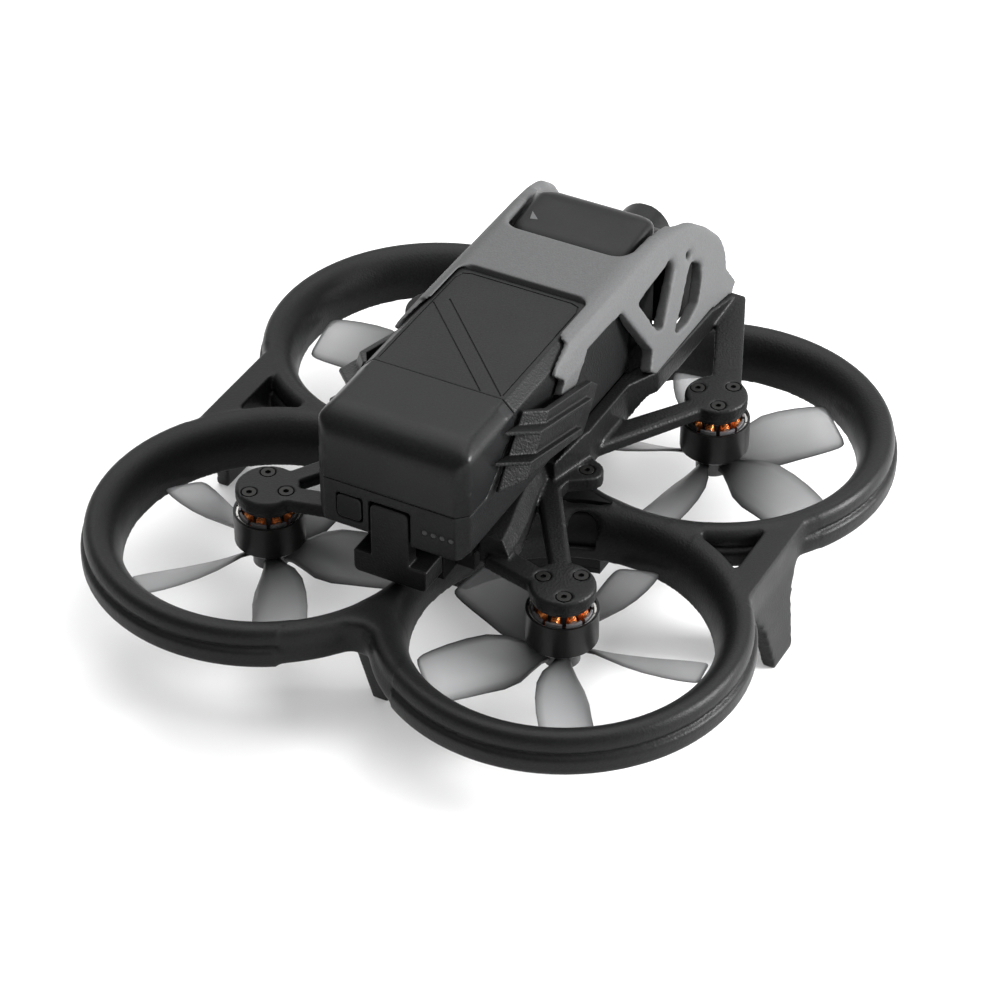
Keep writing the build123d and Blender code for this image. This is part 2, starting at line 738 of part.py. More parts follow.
def upper_frame():
    """The upper frame: a top plate cut out for the battery and cover, and a truss each side."""
    top = plate([(-24, -1.5), (24, -1.5), (24, 62), (17.4, 66.5), (-17.4, 66.5), (-24, 62)], 76.3, FRAME_TOP)
    battery_gap = block((-17.9, 17.9), (-30, 16.2), (70, 90))
    top -= fillet(battery_gap.edges().filter_by(Axis.Z).sort_by(Axis.Y)[-2:], 3.6)
    cover_gap = block((-17.4, 17.4), (36.6, 80), (70, 90))
    top -= fillet(cover_gap.edges().filter_by(Axis.Z).sort_by(Axis.Y)[:2], 4.5)
    top_profile = [
        (-1.5, 76.3),
        (-1.5, 78.2),
        (0.5, FRAME_TOP),
        (38, FRAME_TOP),
        (52, 78.0),
        (62, 75.6),
        (66.5, 73.0),
        (66.5, 70),
        (-1.5, 70),
    ]
    top = top & side_plate(top_profile, -40, 40)
    frame = (top + both_sides(upper_frame_side())) & frame_envelope()
    for side in (-1, 1):
        frame -= Pos(side * 28.4, -4.5, 65.7) * Box(10, 15, 11.6)
    deck_room = [(-20, 20), (-20, SILL_TOP), (66, SILL_TOP), (79, 46.5), (79, 20)]
    return frame - side_plate(deck_room, -40, 40) - battery_room()


def battery_room():
    """The battery's own space with its running clearance, as a straight channel to the rear."""
    half = BATTERY_HALF + 0.35
    bevel = BATTERY_BEVEL - 0.1
    top = BATTERY_TOP + 0.3
    outline = [
        (-half, BATTERY_BOTTOM - 0.2),
        (half, BATTERY_BOTTOM - 0.2),
        (half, top - bevel),
        (half - bevel, top),
        (bevel - half, top),
        (-half, top - bevel),
    ]
    channel = extrude(Plane.XZ * Polygon(*outline, align=None), 33.6, both=True)
    front = block((-40, 40), (STEP_Y + CLEAR, 40), (STEP_Z + CLEAR, 90))
    return channel - front


def front_cover():
    """The dark pillow-shaped cover between the frame's horns."""
    profile = [(37.4, 70.0), (37.4, 76.0), (39.0, 77.2), (54.0, 79.2), (57.0, 78.2), (58.6, 74.0), (58.6, 70.0)]
    cover = side_plate(profile, -16.6, 16.6)
    upright = cover.edges().filter_by(Axis.Z)
    cover = fillet(upright, 4.2)
    return cover - block((-15, 15), (39, 57), (60, 75))


def core_housing():
    """The dark inner box behind the battery, open at the top under the cover."""
    box = block((-16.6, 16.6), (37.4, 56.0), (45.6, 70.0))
    return box - block((-15, 15), (39, 54.5), (47.2, 80))


def main_board():
    """The flight controller board, in the channel above the spine."""
    board = block((-12, 12), (-30, 40), (32.6, 33.6))
    chips = [((-8, 2), (-8, 2), 1.2), ((2, 8), (10, 18), 1.0), ((-9, -2), (20, 28), 1.0)]
    for x, y, high in chips:
        board += block(x, y, (33.6, 33.6 + high))
    return board


def esc_board():
    """The speed controller board in the belly."""
    board = block((-18, 18), (-8, 8), (24.0, 25.0))
    for x in (-14, -6, 6, 14):
        board += block((x - 2.5, x + 2.5), (-3, 3), (25.0, 26.2))
    return board


def heat_sink():
    """The finned heat sink over the belly slots."""
    sink = block((-17, 17), (-7, 7), (21.0, 23.0))
    for x in range(-16, 17, 4):
        sink += block((x - 0.5, x + 0.5), (-7, 7), (15.2, 21.0))
    return sink


def gps_module():
    """The positioning receiver under the front cover."""
    return block((-10, 10), (41, 53), (60.0, 61.2)) + block((-8, 8), (42, 52), (61.2, 65.2))


def gps_posts():
    """Four posts that carry the receiver."""
    posts = [rod(x, y, 47.2, 60.0, 1.2) for x in (-8.5, 8.5) for y in (42.5, 51.5)]
    return Compound(posts)


def cross_rod(x_low, x_high, y, z, radius):
    """A cylinder lying along X."""
    return Pos((x_low + x_high) / 2, y, z) * Rot(0, 90, 0) * Cylinder(radius, x_high - x_low)


def gimbal_bracket():
    """The camera bracket: a back plate and two arms."""
    bracket = block((-21.0, 21.0), (58.9, 60.6), (45.0, 63.5))
    arm_outline = [(60.6, 45), (60.6, 63.5), (70, 63), (78, 58), (78, 50), (70, 45)]
    bracket += both_sides(side_plate(arm_outline, 19.3, 21.0))
    return bracket - cross_rod(17, 22, TILT_Y, TILT_Z, 1.5)


def gimbal_dampers():
    """Four rubber dampers between the core housing and the bracket."""
    dampers = []
    for x in (-12, 12):
        for z in (50, 60):
            dampers.append(Pos(x, 57.45, z) * Rot(90, 0, 0) * Cylinder(2.4, 2.9))
    return Compound(dampers)


def tilt_motor():
    """The motor that tilts the camera, with its output shaft."""
    return cross_rod(-19.3, -13.0, TILT_Y, TILT_Z, 7.5) + cross_rod(-13.0, -9.0, TILT_Y, TILT_Z, 1.5)


def pivot_pin():
    """The pin on the camera's other side."""
    return cross_rod(9.0, 21.0, TILT_Y, TILT_Z, 1.5)


CAMERA_HALF = 12.0
LENS_R = 7.6


def camera_housing():
    """The camera's rounded body with its lens barrel."""
    body = cross_rod(-CAMERA_HALF, CAMERA_HALF, TILT_Y, TILT_Z, 8.9)
    body = chamfer(body.edges().filter_by(GeomType.CIRCLE), 1.2)
    barrel = Pos(0, 81.2, TILT_Z) * Rot(90, 0, 0) * Cylinder(LENS_R, 9.6)
    body += barrel
    body -= Pos(0, 83.2, TILT_Z) * Rot(90, 0, 0) * Cylinder(LENS_R - 1.2, 6)
    fit = 1.5 + 0.03
    body -= cross_rod(-14, -8.7, TILT_Y, TILT_Z, fit)
    return body - cross_rod(8.7, 14, TILT_Y, TILT_Z, fit)


def lens_barrel():
    """The lens stack inside the barrel."""
    stack = Pos(0, 82.0, TILT_Z) * Rot(90, 0, 0) * Cylinder(LENS_R - 1.25, 3.2)
    return stack + Pos(0, 84.0, TILT_Z) * Rot(90, 0, 0) * Cylinder(3.4, 0.8)


def lens_glass():
    """The domed front glass."""
    dome = Pos(0, 74.4, TILT_Z) * Sphere(13.2)
    return dome & Pos(0, 86.6, TILT_Z) * Rot(90, 0, 0) * Cylinder(LENS_R - 1.25, 3.2)


def frame_screws():
    """The deck's two boss screws."""
    return Compound([screw(sx * 26.3, -1, DECK_TOP - 0.1, 3.6) for sx in (-1, 1)])


def side_ports():
    """The card slot and data socket block on the left of the core housing."""
    port = block((-18.4, -16.6), (42, 52), (50, 58))
    return port - block((-20, -17.4), (43.5, 50.5), (55, 56.4)) - block((-20, -17.4), (43.5, 50.5), (51.5, 53.6))


PARTS = {
    "prop_guard": prop_guard,
    "fuselage_pod": fuselage_pod,
    "bottom_cover": bottom_cover,
    "bottom_sensors": bottom_sensors,
    "arm_frame": arm_frame,
    "motor_screws": motor_screws,
    "frame_screws": frame_screws,
    "motor_bases": motor_bases,
    "motor_bearings": motor_bearings,
    "stator_cores": stator_cores,
    "stator_windings": stator_windings,
    "battery_case": battery_case,
    "battery_rear_cap": battery_rear_cap,
    "battery_cells": battery_cells,
    "battery_leds": battery_leds,
    "power_button": power_button,
    "power_plug": power_plug,
    "power_port": power_port,
    "battery_tray": battery_tray,
    "buckle_right": buckle_right,
    "buckle_left": lambda: mirror(buckle_right(), Plane.YZ),
    "upper_frame": upper_frame,
    "front_cover": front_cover,
    "core_housing": core_housing,
    "main_board": main_board,
    "esc_board": esc_board,
    "heat_sink": heat_sink,
    "gps_module": gps_module,
    "gps_posts": gps_posts,
    "side_ports": side_ports,
    "gimbal_bracket": gimbal_bracket,
    "gimbal_dampers": gimbal_dampers,
    "tilt_motor": tilt_motor,
    "pivot_pin": pivot_pin,
    "camera_housing": camera_housing,
    "lens_barrel": lens_barrel,
    "lens_glass": lens_glass,
}

os.makedirs("parts", exist_ok=True)
for node, make in PARTS.items():
    export_step(make(), f"parts/{node}.step")

rotor_pieces = {
    "motor_bell": motor_bell(),
    "magnets": magnets(),
    "motor_shaft": motor_shaft(),
    "prop_screws": prop_screws(),
}
for name, x, y in motor_places():
    place = Pos(x, y, 0)
    for node, piece in rotor_pieces.items():
        export_step(place * piece, f"parts/{node}_{name}.step")
    export_step(place * propeller(name), f"parts/propeller_{name}.step")
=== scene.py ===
import json
from math import cos, pi, radians, sin

import bmesh
import bpy
from mathutils import Matrix, Vector


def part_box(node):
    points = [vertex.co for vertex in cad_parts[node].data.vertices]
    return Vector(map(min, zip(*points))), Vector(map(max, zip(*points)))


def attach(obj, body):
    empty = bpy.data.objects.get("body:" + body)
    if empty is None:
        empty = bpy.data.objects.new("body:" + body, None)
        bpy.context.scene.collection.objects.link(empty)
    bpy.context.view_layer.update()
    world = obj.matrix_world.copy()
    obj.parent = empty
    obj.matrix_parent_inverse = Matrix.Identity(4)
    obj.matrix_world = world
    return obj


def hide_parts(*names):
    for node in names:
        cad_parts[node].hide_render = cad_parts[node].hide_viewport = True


# A small ducted quadcopter. Metres, +X its right side, +Y its nose, +Z up, as the CAD has it.
MM = 0.001

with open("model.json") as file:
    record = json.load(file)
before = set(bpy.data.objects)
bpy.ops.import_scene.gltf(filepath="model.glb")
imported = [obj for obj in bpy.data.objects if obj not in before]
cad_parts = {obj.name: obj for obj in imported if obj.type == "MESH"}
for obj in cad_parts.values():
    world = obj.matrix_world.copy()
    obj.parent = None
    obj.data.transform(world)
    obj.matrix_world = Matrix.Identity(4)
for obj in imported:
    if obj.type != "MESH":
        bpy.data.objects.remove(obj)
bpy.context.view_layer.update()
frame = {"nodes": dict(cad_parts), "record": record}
NODES = frame["nodes"]
MOTORS = ("fl", "fr", "rl", "rr")


# ---------------------------------------------------------------- node materials

# The part of a noise's values that matters: nearly all of them, or only the middle ones.
CLOUD = (0.3, 0.7)
SPECKLE = (0.35, 0.65)
# Pointiness on outward edges and in grooves: where the colour starts to change, and where it is done.
OUTWARD = (0.515, 0.6)
INWARD = (0.485, 0.42)
# Edges are lightened this much, partly for wear and partly as a painted highlight.
EDGE_WEAR_AND_HIGHLIGHT = 0.7
# Grooves are darkened this much, as painted shade.
GROOVE_SHADE = 0.85
BLACK = (0.0, 0.0, 0.0)
EDGE_SAMPLES = 4


class Graph:
    """A material's node graph, with short calls for the nodes used here."""

    def __init__(self, name):
        self.material = bpy.data.materials.new(name)
        self.material.use_nodes = True
        self.tree = self.material.node_tree
        self.shader = self.tree.nodes["Principled BSDF"]
        self.place = self.tree.nodes.new("ShaderNodeTexCoord").outputs["Object"]

    def link(self, source, target):
        self.tree.links.new(source, target)

    def stretched(self, scale):
        """The surface point, scaled per axis, for grain that runs one way."""
        node = self.tree.nodes.new("ShaderNodeMapping")
        node.inputs["Scale"].default_value = scale
        self.link(self.place, node.inputs["Vector"])
        return node.outputs["Vector"]

    def noise(self, size, detail=2.0, roughness=0.5, place=None):
        """Cloudy noise with features of about this size in metres."""
        node = self.tree.nodes.new("ShaderNodeTexNoise")
        node.inputs["Scale"].default_value = 1 / size
        node.inputs["Detail"].default_value = detail
        node.inputs["Roughness"].default_value = roughness
        self.link(place or self.place, node.inputs["Vector"])
        return node.outputs["Fac"]

    def cells(self, size):
        """Rounded cells of about this size, for moulded grain."""
        node = self.tree.nodes.new("ShaderNodeTexVoronoi")
        node.feature = "SMOOTH_F1"
        node.inputs["Scale"].default_value = 1 / size
        self.link(self.place, node.inputs["Vector"])
        return node.outputs["Distance"]

    def span(self, value, low, high, to_low, to_high):
        """The value, mapped from one range to another and held inside it."""
        node = self.tree.nodes.new("ShaderNodeMapRange")
        node.inputs["From Min"].default_value = low
        node.inputs["From Max"].default_value = high
        node.inputs["To Min"].default_value = to_low
        node.inputs["To Max"].default_value = to_high
        self.link(value, node.inputs["Value"])
        return node.outputs["Result"]

    def blend(self, value, low, high):
        """A colour between two, by the value."""
        node = self.tree.nodes.new("ShaderNodeMix")
        node.data_type = "RGBA"
        node.inputs["A"].default_value = (*low, 1)
        node.inputs["B"].default_value = (*high, 1)
        self.link(value, node.inputs["Factor"])
        return node.outputs["Result"]

    def towards(self, colour, other, factor):
        """The colour, mixed towards another one by a factor."""
        node = self.tree.nodes.new("ShaderNodeMix")
        node.data_type = "RGBA"
        node.inputs["B"].default_value = (*other, 1)
        self.link(colour, node.inputs["A"])
        self.link(factor, node.inputs["Factor"])
        return node.outputs["Result"]

    def edge_wear_highlight_groove_shade(self, colour, light):
        """The colour, lighter along edges, for handling wear and as a painted highlight, and darker in
        grooves, as painted shade.
        """
        point = self.tree.nodes.new("ShaderNodeNewGeometry").outputs["Pointiness"]
        # Lighter along edges: wear and painted highlight.
        lighter = self.towards(colour, light, self.span(point, *OUTWARD, 0.0, EDGE_WEAR_AND_HIGHLIGHT))
        # Darker in grooves: painted shade.
        return self.towards(lighter, BLACK, self.span(point, *INWARD, 0.0, GROOVE_SHADE))

    def bump(self, height, depth, after=None):
        """A bump of this depth in metres, on top of another one if that is given."""
        node = self.tree.nodes.new("ShaderNodeBump")
        node.inputs["Distance"].default_value = depth
        node.inputs["Strength"].default_value = 1.0
        self.link(height, node.inputs["Height"])
        if after:
            self.link(after, node.inputs["Normal"])
        return node.outputs["Normal"]

    def rounded(self, radius):
        """A normal that rounds off sharp edges."""
        node = self.tree.nodes.new("ShaderNodeBevel")
        node.samples = EDGE_SAMPLES
        node.inputs["Radius"].default_value = radius
        return node.outputs["Normal"]

    def finish(self, colour, roughness, normal):
        """The material, with its colour, roughness and normal in place."""
        self.link(colour, self.shader.inputs["Base Color"])
        self.link(roughness, self.shader.inputs["Roughness"])
        self.link(normal, self.shader.inputs["Normal"])
        return self.material


def grey(level, tint=0.0):
    """A near-neutral colour: tint above zero makes it cooler."""
    return (level * (1 - tint), level, level * (1 + 1.5 * tint))


def plastic(name, level, tint, rough, grain, depth, edge=0.0, mottle=0.32):
    """Moulded plastic: pebbled grain, speckled colour, cloudy gloss, and, if edge is set, edges
    lightened for wear and as a painted highlight, with grooves darkened as painted shade.
    """
    g = Graph(name)
    speckle = g.noise(grain, 3.0, 0.7)
    cloud = g.noise(18 * MM, 4.0, 0.6)
    dark = grey(level * (1 - mottle), tint)
    light = grey(level * (1 + mottle), tint)
    colour = g.blend(g.span(speckle, *SPECKLE, 0.0, 1.0), dark, light)
    # Painted highlight and wear along edges, painted shade in grooves.
    if edge:
        colour = g.edge_wear_highlight_groove_shade(colour, grey(level + edge, tint))
    gloss = g.span(cloud, *CLOUD, rough - 0.05, rough + 0.06)
    fine = g.bump(speckle, depth * 0.4, after=g.rounded(0.25 * MM))
    g.shader.inputs["Specular IOR Level"].default_value = 0.15
    return g.finish(colour, gloss, g.bump(g.cells(grain), depth, after=fine))


def metal(name, colour, rough, streak, metallic=1.0):
    """Machined metal: fine turned streaks and handling marks."""
    g = Graph(name)
    lines = g.noise(streak, 2.0, 0.5, g.stretched((1, 1, 14)))
    marks = g.noise(4 * MM, 5.0, 0.7)
    low = tuple(c * 0.82 for c in colour)
    tone = g.blend(g.span(marks, *CLOUD, 0.0, 1.0), low, colour)
    gloss = g.span(marks, *CLOUD, rough, rough + 0.12)
    g.shader.inputs["Metallic"].default_value = metallic
    g.shader.inputs["Specular IOR Level"].default_value = 0.25
    return g.finish(tone, gloss, g.bump(lines, 0.004 * MM, after=g.rounded(0.12 * MM)))


def smoke(name):
    """Translucent smoke-grey blade plastic, darker and more solid towards root and edges."""
    g = Graph(name)
    attribute = g.tree.nodes.new("ShaderNodeAttribute")
    attribute.attribute_name = "shade"
    shade = attribute.outputs["Fac"]
    flow = g.noise(9 * MM, 2.0, 0.4)
    tone = g.blend(shade, grey(0.006, 0.01), grey(0.22, 0.01))
    gloss = g.span(flow, *CLOUD, 0.31, 0.4)
    g.link(g.span(shade, 0.0, 1.0, 0.93, 0.62), g.shader.inputs["Alpha"])
    g.shader.inputs["Specular IOR Level"].default_value = 0.5
    return g.finish(tone, gloss, g.bump(g.noise(6 * MM, 1.0), 0.01 * MM))


def glass(name):
    """Dark coated lens glass."""
    g = Graph(name)
    film = g.noise(12 * MM, 2.0)
    g.shader.inputs["Coat Weight"].default_value = 1.0
    g.shader.inputs["Coat Roughness"].default_value = 0.02
    g.shader.inputs["Metallic"].default_value = 0.25
    tone = g.blend(g.span(film, *SPECKLE, 0.0, 1.0), (0.008, 0.012, 0.03), (0.02, 0.012, 0.035))
    return g.finish(tone, g.span(film, *CLOUD, 0.03, 0.07), g.bump(film, 0.002 * MM))


def board(name):
    """Solder mask with a fine pattern of traces."""
    g = Graph(name)
    tracks = g.noise(1.5 * MM, 0.0)
    tone = g.blend(g.span(tracks, 0.48, 0.52, 0.0, 1.0), (0.006, 0.05, 0.022), (0.012, 0.09, 0.04))
    return g.finish(tone, g.span(tracks, 0.45, 0.55, 0.3, 0.42), g.bump(tracks, 0.02 * MM))


MATERIALS = {
    "guard_black": plastic("guard_black", 0.0052, 0.02, 0.42, 0.45 * MM, 0.05 * MM, 0.006),
    "arm_black": plastic("arm_black", 0.0042, 0.02, 0.42, 0.5 * MM, 0.08 * MM, 0.014),
    "pod_black": plastic("pod_black", 0.003, 0.02, 0.55, 0.4 * MM, 0.012 * MM),
    "frame_grey": plastic("frame_grey", 0.07, 0.01, 0.5, 0.45 * MM, 0.03 * MM, 0.015, 0.1),
    "battery_charcoal": plastic("battery_charcoal", 0.0063, 0.03, 0.46, 0.5 * MM, 0.06 * MM, 0.001),
    "cap_satin": plastic("cap_satin", 0.0062, 0.03, 0.36, 0.5 * MM, 0.008 * MM, 0.004),
    "cover_black": plastic("cover_black", 0.0042, 0.02, 0.36, 0.5 * MM, 0.004 * MM, 0.006),
    "bell_black": metal("bell_black", (0.006, 0.0058, 0.0058), 0.3, 0.4 * MM, 0.3),
    "shaft_steel": metal("shaft_steel", (0.6, 0.6, 0.61), 0.25, 0.3 * MM),
    "screw_black": metal("screw_black", (0.018, 0.0175, 0.017), 0.32, 0.3 * MM, 0.7),
    "magnet_nickel": metal("magnet_nickel", (0.5, 0.49, 0.47), 0.3, 0.3 * MM),
    "copper_wire": metal("copper_wire", (0.86, 0.29, 0.085), 0.3, 0.2 * MM, 0.85),
    "stator_steel": metal("stator_steel", (0.2, 0.2, 0.21), 0.45, 0.2 * MM, 0.8),
    "sink_aluminium": metal("sink_aluminium", (0.62, 0.62, 0.64), 0.38, 0.4 * MM),
    "led_white": plastic("led_white", 0.05, 0.0, 0.36, 0.4 * MM, 0.002 * MM),
    "damper_rubber": plastic("damper_rubber", 0.02, 0.0, 0.72, 0.5 * MM, 0.02 * MM),
    "cell_wrap": plastic("cell_wrap", 0.3, 0.02, 0.35, 0.8 * MM, 0.01 * MM),
    "board_green": board("board_green"),
    "lens_glass": glass("lens_glass"),
    "blade_smoke": smoke("blade_smoke"),
}
SLOT_OF = {part["node"]: part["material_slot"] for part in frame["record"]["subparts"]}
BODY_OF = {
    node: body for body, nodes in frame["record"]["behaviour"]["bodies"].items() for node in nodes
}

for node, thing in NODES.items():
    thing.data.materials.clear()
    thing.data.materials.append(MATERIALS[SLOT_OF[node]])


# ---------------------------------------------------------------- pieces

# How far a point moves towards the middle of its neighbours in a round of smoothing.
SMOOTHING = 0.5
# How far a groove's cutter goes past the end of its run, in half widths.
GROOVE_OVERRUN = 0.6


def piece(name, mesh, node, smooth_angle=30):
    """A new piece that stands for a CAD node: it takes the node's body, slot and material."""
    thing = bpy.data.objects.new(name, mesh)
    bpy.context.scene.collection.objects.link(thing)
    mesh.materials.clear()
    mesh.materials.append(MATERIALS[SLOT_OF[node]])
    mesh.shade_smooth()
    mesh.set_sharp_from_angle(angle=radians(smooth_angle))
    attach(thing, BODY_OF[node])
    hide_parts(node)
    return thing


def cad_mesh(node):
    """A node's mesh as a new closed mesh, its corners welded."""
    bm = bmesh.new()
    bm.from_mesh(NODES[node].data)
    bmesh.ops.remove_doubles(bm, verts=bm.verts, dist=0.001 * MM)
    mesh = bpy.data.meshes.new(node + "_copy")
    bm.to_mesh(mesh)
    bm.free()
    return mesh


def applied(mesh, modifiers):
    """The mesh after a list of (type, settings) modifiers."""
    thing = bpy.data.objects.new("work", mesh)
    bpy.context.scene.collection.objects.link(thing)
    for kind, settings in modifiers:
        modifier = thing.modifiers.new(kind, kind)
        for key, value in settings.items():
            setattr(modifier, key, value)
    view = bpy.context.evaluated_depsgraph_get()
    made = bpy.data.meshes.new_from_object(thing.evaluated_get(view))
    bpy.data.objects.remove(thing)
    return made


def remoulded(node, voxel, rounds):
    """A CAD node's mesh with edges rounded and inside corners filled, as moulding leaves them."""
    steps = [
        ("REMESH", {"mode": "VOXEL", "voxel_size": voxel}),
        ("SMOOTH", {"factor": SMOOTHING, "iterations": rounds}),
    ]
    return applied(cad_mesh(node), steps)


def moulded(node, name, voxel, rounds):
    """A piece that stands for a CAD node, remoulded."""
    return piece(name, remoulded(node, voxel, rounds), node, 60)


def soften(thing, where, rounds):
    """Smooths a piece further in the part of it that where picks out."""
    bm = bmesh.new()
    bm.from_mesh(thing.data)
    chosen = [vert for vert in bm.verts if where(vert.co)]
    for _ in range(rounds):
        bmesh.ops.smooth_vert(
            bm, verts=chosen, factor=SMOOTHING, use_axis_x=True, use_axis_y=True, use_axis_z=True
        )
    bm.to_mesh(thing.data)
    bm.free()


def new_mesh(name, points, faces):
    """A mesh from points in millimetres."""
    mesh = bpy.data.meshes.new(name)
    mesh.from_pydata([tuple(c * MM for c in point) for point in points], [], faces)
    mesh.validate()
    return mesh


def skin(rings, closed=False):
    """The skin over a run of rings with equally many points; its ends are capped, or meet."""
    count = len(rings[0])
    points = [point for ring in rings for point in ring]
    faces = []
    for row in range(len(rings) if closed else len(rings) - 1):
        above = (row + 1) % len(rings) * count
        for k in range(count):
            after = (k + 1) % count
            faces.append((row * count + k, row * count + after, above + after, above + k))
    if not closed:
        faces.append(tuple(reversed(range(count))))
        faces.append(tuple(range(len(points) - count, len(points))))
    return points, faces


def joined(name, shells):
    """One mesh in millimetres from several (points, faces) shells."""
    points = []
    faces = []
    for shell_points, shell_faces in shells:
        start = len(points)
        points += shell_points
        faces += [tuple(start + k for k in face) for face in shell_faces]
    return new_mesh(name, points, faces)


def turned(points, turn, x0=0.0, y0=0.0):
    """Points turned about the Z axis and then moved by x0 and y0."""
    c = cos(turn)
    s = sin(turn)
    return [(x0 + x * c - y * s, y0 + x * s + y * c, z) for x, y, z in points]


def rod_shell(x, y, z_low, z_high, radius, chamfer=0.0, sides=32):
    """An upright rod in millimetres, its lower edge chamfered."""
    rings = []
    for z, r in ((z_low, radius - chamfer), (z_low + chamfer, radius), (z_high, radius)):
        turns = [2 * pi * k / sides for k in range(sides)]
        rings.append([(x + r * cos(turn), y + r * sin(turn), z) for turn in turns])
    if not chamfer:
        rings.pop(0)
    return skin(rings)


def cut_away(mesh, cutter):
    """The mesh with a cutter's space taken out of it."""
    tool = bpy.data.objects.new("cutter", cutter)
    bpy.context.scene.collection.objects.link(tool)
    cut = ("BOOLEAN", {"object": tool, "operation": "DIFFERENCE", "solver": "EXACT"})
    made = applied(mesh, [cut])
    bpy.data.objects.remove(tool)
    return made


def groove(line, z, width, depth):
    """Cutters in millimetres, one for each run of a level line at height z."""
    shells = []
    for (x0, y0), (x1, y1) in zip(line, line[1:]):
        run = Vector((x1 - x0, y1 - y0)).normalized() * (width / 2)
        corners = []
        for x, y, side, end in ((x0, y0, -1, -1), (x1, y1, -1, 1), (x1, y1, 1, 1), (x0, y0, 1, -1)):
            past = end * GROOVE_OVERRUN
            corners.append((x - run.y * side + run.x * past, y + run.x * side + run.y * past))
        foot = [(x, y, z - depth) for x, y in corners]
        head = [(x, y, z + 1) for x, y in corners]
        shells.append(skin([foot, head]))
    return shells


# ---------------------------------------------------------------- moulded parts

guard = moulded("prop_guard", "guard_moulding", 0.5 * MM, 7)
# Front and rear bridges, where the rings flow into each other.
soften(guard, lambda p: abs(p.x) < 16 * MM and abs(p.y) > 61 * MM and p.z > 20 * MM, 60)
# Inner bridges beside the body.
soften(guard, lambda p: 22 * MM < abs(p.x) < 57 * MM and abs(p.y) < 15 * MM and p.z > 27 * MM, 30)
# Outer bridges above the legs.
soften(guard, lambda p: abs(p.x) > 73 * MM and abs(p.y) < 20 * MM and p.z > 15 * MM, 12)

moulded("arm_frame", "arm_deck", 0.4 * MM, 3)

truss = moulded("upper_frame", "truss_frame", 0.36 * MM, 8)
# Rounder step by step towards its front horns.
for from_y, from_z, rounds in ((22, 58, 12), (36, 60, 16), (50, 62, 30)):
    soften(truss, lambda p: p.y > from_y * MM and p.z > from_z * MM, rounds)

for side in ("right", "left"):
    moulded("buckle_" + side, "buckle_moulding_" + side, 0.22 * MM, 2)

cap = moulded("battery_rear_cap", "battery_rear_cap_moulding", 0.4 * MM, 3)
# Its upper corners, clear of the seam in front and the button below.
soften(cap, lambda p: p.y < -33 * MM and p.z > 65 * MM, 30)

for node, voxel, rounds in (
    ("power_plug", 0.25, 3),
    ("power_button", 0.15, 3),
    ("camera_housing", 0.35, 4),
    ("tilt_motor", 0.3, 2),
    ("gimbal_bracket", 0.3, 3),
):
    moulded(node, node + "_moulding", voxel * MM, rounds)

# ---------------------------------------------------------------- battery shell

TOP_PANEL = [
    (-17.0, -28.5),
    (-17.0, 10.5),
    (-16.2, 12.8),
    (-14.0, 13.6),
    (14.0, 13.6),
    (16.2, 12.8),
    (17.0, 10.5),
    (17.0, -28.5),
]
DIAGONALS = ([(-16.6, -1.8), (11.2, -29.4)], [(-13.6, 1.2), (16.6, -29.0)])
PANEL_WIDTH = 0.35
DIAGONAL_WIDTH = 0.4
GROOVE_DEPTH = 0.25


def battery_shell():
    """The battery's case, remoulded, with a panel's outline and two diagonal grooves on top."""
    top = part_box("battery_rear_cap")[1][2] / MM
    base = remoulded("battery_case", 0.45 * MM, 3)
    for line in (TOP_PANEL, *DIAGONALS):
        width = PANEL_WIDTH if line is TOP_PANEL else DIAGONAL_WIDTH
        for shell in groove(line, top, width, GROOVE_DEPTH):
            base = cut_away(base, joined("groove", [shell]))
    piece("battery_shell", base, "battery_case", 50)


battery_shell()


# ---------------------------------------------------------------- front cover

COVER_HALF = (16.6, 10.6)
COVER_MIDDLE_Y = 48.0
COVER_CORNER = 4.4
COVER_FOOT = 70.05
# How far in from the edge each ring of the pillow lies, and how far below the crown it is.
COVER_RINGS = (
    (0.0, 5.0),
    (0.0, 2.3),
    (0.2, 1.5),
    (0.8, 0.75),
    (1.7, 0.3),
    (2.8, 0.1),
    (4.4, 0.0),
    (6.4, 0.0),
    (8.4, 0.0),
    (10.0, 0.0),
)
# The height of the crown along the cover: (y, z).
COVER_CROWN = ((37.4, 77.3), (44.0, 78.0), (50.0, 78.7), (54.0, 79.1), (57.0, 78.5), (58.6, 77.6))
MARK_OUTLINE = ((-13.6, 45.9), (-12.8, 42.8), (-10.7, 43.3))
MARK_SUNK = 1.0
MARK_PROUD = 0.06


def along(table, at):
    """The value of a table of (place, value) rows at a place, on straight lines between rows."""
    for (low, first), (high, second) in zip(table, table[1:]):
        if at <= high:
            return first + (second - first) * (at - low) / (high - low)
    return table[-1][1]


def rounded_rectangle(half_x, half_y, radius, arc_steps=8, side_steps=6):
    """The points of a rectangle with round corners, counter-clockwise round the origin."""
    corners = []
    for quarter, (sx, sy) in enumerate(((1, 1), (-1, 1), (-1, -1), (1, -1))):
        arc = []
        for k in range(arc_steps + 1):
            a = (quarter + k / arc_steps) * pi / 2
            x = sx * (half_x - radius) + radius * cos(a)
            y = sy * (half_y - radius) + radius * sin(a)
            arc.append((x, y))
        corners.append(arc)
    points = []
    for quarter in range(4):
        points += corners[quarter]
        x0, y0 = corners[quarter][-1]
        x1, y1 = corners[(quarter + 1) % 4][0]
        for k in range(1, side_steps):
            t = k / side_steps
            points.append((x0 + (x1 - x0) * t, y0 + (y1 - y0) * t))
    return points


